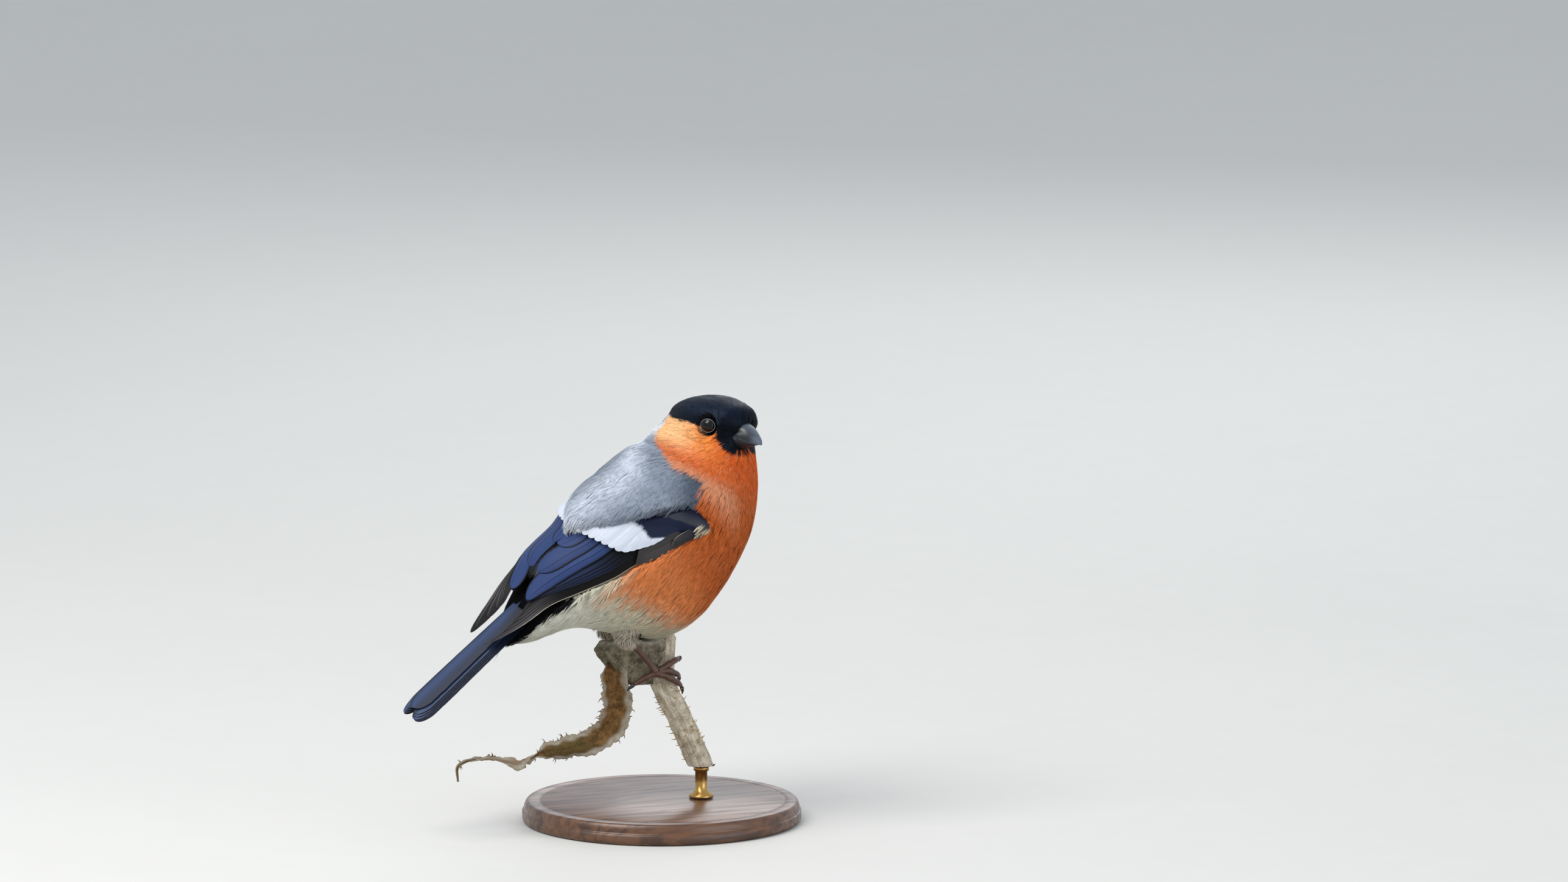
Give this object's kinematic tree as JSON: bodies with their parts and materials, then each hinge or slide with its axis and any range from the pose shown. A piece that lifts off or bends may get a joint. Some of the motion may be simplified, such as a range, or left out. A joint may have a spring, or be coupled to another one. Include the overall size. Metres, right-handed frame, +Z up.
{
  "type": "perched finch figure",
  "caption": "Life-size male finch with black cap, orange breast and grey mantle, gripping a dry cut stem held over a round stand by a short rod.",
  "frame": {"origin": "middle of the stand base's underside, on the surface that it stands on", "axes": "+Z up, +X the way the bird's body heads, +Y to the bird's left"},
  "size_m": [0.137, 0.092, 0.141],
  "materials": {
    "cap_feathers": "glossy blue-black feathers",
    "breast_feathers": "soft orange feathers",
    "pale_feathers": "soft cream-white feathers",
    "covert_feathers": "blue-grey and pale grey feathers",
    "flight_feathers": "glossy blue-black vanes",
    "eye": "wet dark brown",
    "bill": "satin dark grey horn",
    "leg_skin": "scaled brown skin",
    "dry_stem": "dry, grooved, pale grey-beige",
    "woody_bark": "weathered grey bark",
    "dead_leaf": "dry, curled, brown-grey",
    "turned_wood": "satin oiled wood",
    "brass_rod": "satin brass"
  },
  "bodies": {
    "root": {"head": "cap_feathers", "eye_right": "eye", "eye_left": "eye", "bill_upper": "bill", "bill_lower": "bill", "neck": "breast_feathers", "torso": "breast_feathers", "rump": "pale_feathers", "tail": "flight_feathers", "wing_right_arm": "covert_feathers", "wing_right_flight": "flight_feathers", "wing_left_arm": "covert_feathers", "wing_left_flight": "flight_feathers", "leg_right_thigh": "pale_feathers", "leg_right_tarsus": "leg_skin", "foot_right": "leg_skin", "leg_left_thigh": "pale_feathers", "leg_left_tarsus": "leg_skin", "foot_left": "leg_skin", "perch_stem": "dry_stem", "perch_cup": "woody_bark", "perch_leaf": "dead_leaf", "stand_base": "turned_wood", "stand_rod": "brass_rod"}
  },
  "joints": []
}
